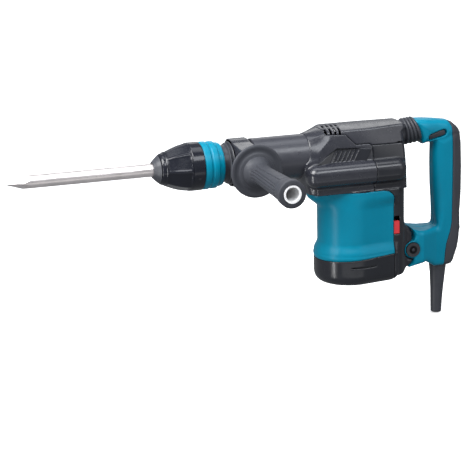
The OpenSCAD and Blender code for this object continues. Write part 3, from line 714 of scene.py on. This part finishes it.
def cord_guard():
    """Tapered rubber sleeve under the handle with an open bore for a cord."""
    top, tip = GUARD_HIGH[2], GUARD_LOW[2]
    loop = [(top, 5), (top, 7.3), (top - 10.5, 7.4), (top - 10.8, 13), (top - 15, 12.7), (top - 27, 11.3),
            (top - 50, 9.5), (top - 68, 8.5), (tip + 1.4, 7.8), (tip, 7), (tip, 4.7)]
    loop = soften(loop, 0.8, 4)

    def place(z, r, a):
        lean = 2.2 * float(ease(top - 10, tip, z))
        return GUARD_X - 0.3 - lean + r * math.cos(a), r * math.sin(a), z
    verts, faces = ring_mesh(stretch(loop, 4), place, 64)
    finish_piece(new_piece("cord_guard_tapered", verts, faces, sharp=50), "handle", "rubber", "cord_guard")


def coil(name, start, end, radius, wire, turns, first, second, *nodes):
    """A helical spring between two points, with close end turns. The two bodies, first and second, are not used."""
    a, b = Vector(start), Vector(end)
    along = (b - a).normalized()
    side = along.cross(Vector((0, 0, 1))).normalized()
    up = side.cross(along)
    length = (b - a).length - 2 * wire
    close = 2.1 * wire
    per_turn, sides = 28, 9
    steps = turns * per_turn
    verts = []
    for i in range(steps + 1):
        turn = i / per_turn
        ends = close * (min(turn, 1) + max(turn - turns + 1, 0))
        middle = (length - 2 * close) * min(max((turn - 1) / (turns - 2), 0), 1)
        out = side * math.cos(turn * 2 * math.pi) + up * math.sin(turn * 2 * math.pi)
        centre = a + along * (wire + ends + middle) + out * radius
        for j in range(sides):
            turned = j * 2 * math.pi / sides
            verts.append(tuple(centre + (out * math.cos(turned) + along * math.sin(turned)) * wire))
    faces = [(i * sides + j, i * sides + (j + 1) % sides, (i + 1) * sides + (j + 1) % sides, (i + 1) * sides + j)
             for i in range(steps) for j in range(sides)]
    faces += [tuple(range(sides)), tuple(range(len(verts) - 1, len(verts) - sides - 1, -1))]
    piece = new_piece(name, np.array(verts), faces, sharp=60)
    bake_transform(piece)
    if nodes:
        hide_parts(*nodes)
    piece.data.materials.append(material("spring_steel"))


def springs():
    """The springs of the locking sleeve, of the counterweight and behind the handle's stem."""
    for name, node, wire, turns, first, second in (
            ("sleeve_coil", "sleeve_spring", 0.9, 5, "sleeve", "chuck"),
            ("weight_coil_front", "weight_spring_front", 1, 4, "housing", "counterweight"),
            ("weight_coil_rear", "weight_spring_rear", 1, 4, "counterweight", "housing")):
        low, high = box_mm(node)
        coil(name, (low[0], 0, 0), (high[0], 0, 0), high[2] - wire, wire, turns, first, second, node)
    low, high = box_mm("handle_springs")
    apart, wire = 7, 0.8
    radius = (high[1] - apart) - wire
    for name, sign, nodes in (("handle_coil_left", -1, []), ("handle_coil_right", 1, ["handle_springs"])):
        coil(name, (low[0] + 0.6, apart * sign, low[2] + radius + 0.9),
             (high[0] - 0.6, apart * sign, high[2] - radius - 0.9), radius, wire, 6, "housing", "handle", *nodes)


def bellows():
    """Four rubber pleats between the casing and the handle's stem, bent along the stem's tilt."""
    pleats, rows, neck_r, bore_r = 4, 72, 15.4, 13.6
    start, end = Vector((190.6, 0, 21)), Vector((221.5, 0, 24.4))
    outer, inner = [(0, neck_r), (0.15, neck_r), (0.26, neck_r + 0.2)], [(1 - i / 12, bore_r) for i in range(13)]
    for i in range(rows + 1):
        t = i / rows
        outer.append((0.28 + 0.72 * t, 16.4 + 2.7 * abs(math.sin(math.pi * pleats * t)) ** 0.75))

    def place(t, r, a):
        tilt = STEM_TILT * t
        up = Vector((-math.sin(tilt), 0, math.cos(tilt)))
        return tuple(start.lerp(end, t) + up * (r * math.sin(a)) + Vector((0, r * math.cos(a), 0)))
    verts, faces = ring_mesh(outer + inner, place, 96)
    piece = new_piece("bellows_pleated", verts, [f[::-1] for f in faces], sharp=70)
    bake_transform(piece)
    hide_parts("bellows")
    piece.data.materials.append(material("rubber"))


# ---- Materials ----

def new_material(name):
    """A node material, its shader and the object coordinates."""
    made = bpy.data.materials.new(name)
    made.use_nodes = True
    tree = made.node_tree
    shader = next(n for n in tree.nodes if n.type == "BSDF_PRINCIPLED")
    place = tree.nodes.new("ShaderNodeTexCoord")
    return made, tree, shader, place.outputs["Object"]


def noise(tree, where, scale, detail=2.0, rough=0.5, squash=None):
    """A noise value, drawn out to lines where squash scales the axes apart."""
    if squash:
        mapping = tree.nodes.new("ShaderNodeMapping")
        mapping.inputs["Scale"].default_value = squash
        tree.links.new(where, mapping.inputs["Vector"])
        where = mapping.outputs["Vector"]
    node = tree.nodes.new("ShaderNodeTexNoise")
    node.inputs["Scale"].default_value = scale
    node.inputs["Detail"].default_value = detail
    node.inputs["Roughness"].default_value = rough
    tree.links.new(where, node.inputs["Vector"])
    return node.outputs["Fac"]


def spread(tree, value, low, high):
    """The value's middle range mapped to between low and high."""
    node = tree.nodes.new("ShaderNodeMapRange")
    node.inputs["From Min"].default_value = 0.3
    node.inputs["From Max"].default_value = 0.7
    node.inputs["To Min"].default_value = low
    node.inputs["To Max"].default_value = high
    tree.links.new(value, node.inputs["Value"])
    return node.outputs["Result"]


def tinted(tree, value, colour, spread_by):
    """The colour, a little darker and lighter where the value is low and high."""
    ramp = tree.nodes.new("ShaderNodeValToRGB")
    for stop, at, factor in zip(ramp.color_ramp.elements, (0.3, 0.7), (1 - spread_by, 1 + spread_by)):
        stop.position = at
        stop.color = [min(1, c * factor) for c in colour] + [1]
    tree.links.new(value, ramp.inputs["Fac"])
    return ramp.outputs["Color"]


def worn_edges(tree, colour, lighter, amount):
    """The colour, with a paler wear where the surface turns sharply outwards."""
    geometry = tree.nodes.new("ShaderNodeNewGeometry")
    limits = tree.nodes.new("ShaderNodeMapRange")
    limits.inputs["From Min"].default_value = 0.53
    limits.inputs["From Max"].default_value = 0.64
    limits.inputs["To Max"].default_value = amount
    tree.links.new(geometry.outputs["Pointiness"], limits.inputs["Value"])
    mix = tree.nodes.new("ShaderNodeMix")
    mix.data_type = "RGBA"
    mix.inputs["B"].default_value = (*lighter, 1)
    tree.links.new(limits.outputs["Result"], mix.inputs["Factor"])
    tree.links.new(colour, mix.inputs["A"])
    return mix.outputs["Result"]


def bumped(tree, value, strength, depth):
    """A normal with the value as fine relief."""
    node = tree.nodes.new("ShaderNodeBump")
    node.inputs["Strength"].default_value = strength
    node.inputs["Distance"].default_value = depth
    tree.links.new(value, node.inputs["Height"])
    return node.outputs["Normal"]


def plastic(name, colour, rough, grain=1400, depth=0.00006, vary=0.06, edge=0.25, coat=0.0, shine=0.3):
    """Moulded plastic or rubber: a fine spark-eroded grain, clouded colour and paler worn edges."""
    made, tree, shader, where = new_material(name)
    cloud = noise(tree, where, 22, 4, 0.6)
    smear = noise(tree, where, 90, 3, 0.6)
    fine = noise(tree, where, grain, 2, 0.5)
    shade = tinted(tree, cloud, colour, vary)
    paler = [min(1, c * 1.5 + 0.03) for c in colour]
    tree.links.new(worn_edges(tree, shade, paler, edge), shader.inputs["Base Color"])
    tree.links.new(spread(tree, smear, rough - 0.05, rough + 0.06), shader.inputs["Roughness"])
    tree.links.new(bumped(tree, fine, 0.5, depth), shader.inputs["Normal"])
    shader.inputs["Specular IOR Level"].default_value = shine
    shader.inputs["Coat Weight"].default_value = coat
    shader.inputs["Coat Roughness"].default_value = 0.12
    return made


def metal(name, colour, rough, grain=(40, 900, 900), depth=0.00002, vary=0.08, turned=False):
    """Ground or turned metal: fine lines along or round the piece, and clouded roughness."""
    made, tree, shader, where = new_material(name)
    lines = noise(tree, where, 1.0, 2, 0.6, squash=(900, 30, 30) if turned else grain)
    cloud = noise(tree, where, 45, 4, 0.6)
    tree.links.new(tinted(tree, cloud, colour, vary), shader.inputs["Base Color"])
    tree.links.new(spread(tree, lines, rough - 0.08, rough + 0.1), shader.inputs["Roughness"])
    tree.links.new(bumped(tree, lines, 0.35, depth), shader.inputs["Normal"])
    shader.inputs["Metallic"].default_value = 1.0
    return made


MAKERS = {
    "charcoal_gloss": lambda n: plastic(n, (0.008, 0.009, 0.014), 0.15, shine=0.38),
    # Near-black with little shine: painted shade for the rings of the bolt heads' bores.
    "deep_black": lambda n: plastic(n, (0.004, 0.004, 0.005), 0.5, edge=0.0, shine=0.1),
    "chisel_steel": lambda n: metal(n, (0.85, 0.79, 0.78), 0.34),
    "polished_steel": lambda n: metal(n, (0.5, 0.5, 0.52), 0.26, turned=True),
    "dark_steel": lambda n: metal(n, (0.16, 0.16, 0.17), 0.38, turned=True),
    "spring_steel": lambda n: metal(n, (0.42, 0.43, 0.45), 0.3, turned=True),
    "aluminium": lambda n: metal(n, (0.66, 0.67, 0.69), 0.42, grain=(300, 300, 300), depth=0.00005),
    "painted_barrel": lambda n: plastic(n, (0.024, 0.025, 0.033), 0.31, grain=900, shine=0.5),
    "charcoal_plastic": lambda n: plastic(n, (0.018, 0.019, 0.026), 0.24, shine=0.55),
    "black_plastic": lambda n: plastic(n, (0.013, 0.014, 0.018), 0.2, shine=0.4),
    "teal_plastic": lambda n: plastic(n, (0.0, 0.178, 0.275), 0.33, vary=0.04, edge=0.12, shine=0.15),
    "grip_rubber": lambda n: plastic(n, (0.036, 0.038, 0.046), 0.5, grain=2200, depth=0.0001),
    "rubber": lambda n: plastic(n, (0.04, 0.042, 0.05), 0.38, grain=1800),
    "white_plastic": lambda n: plastic(n, (0.8, 0.8, 0.8), 0.35, vary=0.03, edge=0.0),
    "red_plastic": lambda n: plastic(n, (0.5, 0.028, 0.035), 0.36, vary=0.04, edge=0.1),
    "natural_plastic": lambda n: plastic(n, (0.6, 0.57, 0.48), 0.45, edge=0.0),
    "lamp_lens": lambda n: plastic(n, (0.2, 0.42, 0.14), 0.15, edge=0.0, coat=0.5),
    "bronze": lambda n: metal(n, (0.5, 0.33, 0.14), 0.4, turned=True),
    "copper": lambda n: metal(n, (0.6, 0.28, 0.15), 0.34),
    "lamination": lambda n: metal(n, (0.2, 0.19, 0.19), 0.5, grain=(30, 30, 2200), depth=0.00008),
    "carbon": lambda n: plastic(n, (0.03, 0.03, 0.03), 0.6, edge=0.1),
}
made_materials = {}


def material(slot):
    """The material of a slot, made when it is first asked for."""
    if slot not in made_materials:
        made_materials[slot] = MAKERS[slot](slot + "_finish")
    return made_materials[slot]


def dress_cad_nodes():
    """Every CAD node gets the finish of its record slot, and the ones that show get soft edges."""
    seen = ("chisel", "nose_cap", "locking_sleeve", "barrel", "grip_sleeve", "switch_lever", "speed_dial",
            "pivot_caps", "handle_lug")
    for name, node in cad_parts.items():
        for place in node.material_slots:
            slot = place.material.name.split(".")[0]
            place.link = "OBJECT"
            place.material = material(slot)
        if name in seen:
            bevel = node.modifiers.new("soft_edges", "BEVEL")
            bevel.width = 0.5 * MM
            bevel.segments = 2
            bevel.limit_method = "ANGLE"
            bevel.angle_limit = math.radians(35)
            bevel.harden_normals = True


# ---- Camera, light and floor ----

def place_camera():
    """The product view: from the front left and a little above, through a long lens."""
    data = bpy.data.cameras.new("camera")
    camera = bpy.data.objects.new("camera", data)
    bpy.context.scene.collection.objects.link(camera)
    bpy.context.scene.camera = camera
    data.sensor_width = 36
    data.lens = 169.44
    data.clip_start, data.clip_end = 0.1, 60
    azimuth, elevation, roll = map(math.radians, (-18.15, 14.47, 1.15))
    back = Vector((math.sin(azimuth) * math.cos(elevation), -math.cos(azimuth) * math.cos(elevation),
                   math.sin(elevation)))
    level = Vector((math.cos(azimuth), math.sin(azimuth), 0))
    upright = back.cross(level)
    right = level * math.cos(roll) - upright * math.sin(roll)
    up = level * math.sin(roll) + upright * math.cos(roll)
    aim, distance = Vector((-170, 0, 0)), 2997.89
    camera.location = (right * 110.26 - up * 61.3 + back * distance + aim) * MM
    tip = Matrix.Rotation(math.radians(-0.406), 3, right)
    back, up = tip @ back, tip @ up
    turn = Matrix((right, up, back)).transposed()
    camera.rotation_mode = "QUATERNION"
    camera.rotation_quaternion = turn.to_quaternion()


def soft_light(name, place, aim, size, watts, tint=(1, 1, 1)):
    """A rectangular softbox that points at aim."""
    data = bpy.data.lights.new(name, "AREA")
    data.shape = "RECTANGLE"
    data.size, data.size_y = size
    data.energy = watts
    data.color = tint
    lamp = bpy.data.objects.new(name, data)
    lamp.location = place
    lamp.rotation_mode = "QUATERNION"
    lamp.rotation_quaternion = (Vector(aim) - Vector(place)).to_track_quat("-Z", "Y")
    bpy.context.scene.collection.objects.link(lamp)


def light_studio():
    """Softboxes above, in front and to the left, under a dim cool sky."""
    centre = (0.02, 0, -0.05)
    cool = (0.93, 0.96, 1.0)
    soft_light("overhead", (0.1, 0.25, 1.5), centre, (1.6, 0.7), 9.5, cool)
    soft_light("front_bank", (0.25, -1.1, 1.25), centre, (2.2, 0.55), 26, cool)
    soft_light("left_strip", (-1.6, -0.6, -0.35), (0.08, 0, -0.2), (0.12, 1.4), 12)
    soft_light("left_bank", (-1.15, -0.25, 1.15), centre, (1.0, 1.2), 50)
    soft_light("low_front", (-0.1, -1.35, -0.6), centre, (1.9, 0.3), 1.6)
    soft_light("fill", (1.3, -1.5, 0.4), centre, (0.9, 1.2), 4.5)
    soft_light("rim", (0.6, 1.6, 0.7), centre, (1.4, 0.5), 3)
    world = bpy.data.worlds.new("studio")
    world.use_nodes = True
    world.node_tree.nodes["Background"].inputs["Color"].default_value = (0.92, 0.96, 1, 1)
    world.node_tree.nodes["Background"].inputs["Strength"].default_value = 0.34
    bpy.context.scene.world = world
    bpy.context.scene.view_settings.view_transform = "Standard"


def lay_floor():
    """A pale floor that curves up far behind the object."""
    low = cad_box[0][2] - 0.002
    bend_y, bend_r, steps = 2.5, 1.5, 16
    rows = [(-4, low), (bend_y, low)]
    for i in range(1, steps + 1):
        a = math.pi / 2 * i / steps
        rows.append((bend_y + bend_r * math.sin(a), low + bend_r * (1 - math.cos(a))))
    rows.append((bend_y + bend_r, low + 6))
    verts = [(x, y, z) for x in (-7, 7) for y, z in rows]
    n = len(rows)
    mesh = bpy.data.meshes.new("floor")
    mesh.from_pydata(verts, [], [(i, n + i, n + i + 1, i + 1) for i in range(n - 1)])
    for face in mesh.polygons:
        face.use_smooth = True
    floor = bpy.data.objects.new("floor", mesh)
    bpy.context.scene.collection.objects.link(floor)
    made, tree, shader, where = new_material("paper_backdrop")
    tree.links.new(tinted(tree, noise(tree, where, 3), (0.9, 0.9, 0.9), 0.01), shader.inputs["Base Color"])
    shader.inputs["Roughness"].default_value = 0.9
    shader.inputs["Emission Color"].default_value = (1, 1, 1, 1)
    shader.inputs["Emission Strength"].default_value = 0.62
    mesh.materials.append(made)
    floor.visible_diffuse = False
    floor.visible_glossy = False
    floor.visible_shadow = False


# ---- Building ----

place_camera()
light_studio()
lay_floor()
dress_cad_nodes()

solid_piece("upper_housing_shell", shell_of(upper_zone), HOUSING_LOW - (5, 0, 0), HOUSING_HIGH,
            "housing", "charcoal_plastic", "upper_housing")
# The louvre plate's darker plastic is painted shade in the side recesses.
solid_piece("vent_louvres", vent_shade_plate, (50, -42, -13), (141, 42, 15), "housing", "black_plastic", step=0.8)
solid_piece("top_cover_shell", shell_of(above_seam, extra=top_vents), COVER_LOW, COVER_HIGH,
            "housing", "charcoal_plastic", "top_cover")
solid_piece("rear_cover_shell", shell_of(rear_zone, extra=lever_window), REAR_LOW, REAR_HIGH,
            "housing", "black_plastic", "rear_cover")
solid_piece("motor_housing_shell", shell_of(motor_zone), MOTOR_LOW, MOTOR_HIGH,
            "housing", "teal_plastic", "motor_housing")
solid_piece("bottom_cover_shell", shell_of(base_zone, extra=base_slits), BASE_LOW, BASE_HIGH + (0, 0, 7),
            "housing", "black_plastic", "bottom_cover")
solid_piece("handle_half_left", handle_half(-1), ARM_LOW, (ARM_HIGH[0], 2, ARM_HIGH[2] + 3),
            "handle", "teal_plastic", "handle_left")
solid_piece("handle_half_right", handle_half(1), (ARM_LOW[0], -2, ARM_LOW[2]), (ARM_HIGH[0], EAR_Y, ARM_HIGH[2] + 3),
            "handle", "teal_plastic", "handle_right")
solid_piece("handle_strip_soft", handle_strip, STRIP_LOW, STRIP_HIGH, "handle", "grip_rubber", "handle_back")
solid_piece("handle_inlays", handle_inlays, (230, -20, 10), (266, 20, 30), "handle", "grip_rubber", step=0.8)
solid_piece("clamp_collar_block", clamp_collar, COLLAR_LOW, COLLAR_HIGH, "side_handle", "charcoal_plastic",
            "clamp_collar")
neck_seal()
pivot_heads()
chuck_cover()
grip_disc()
side_grip()
cord_guard()
springs()
bellows()
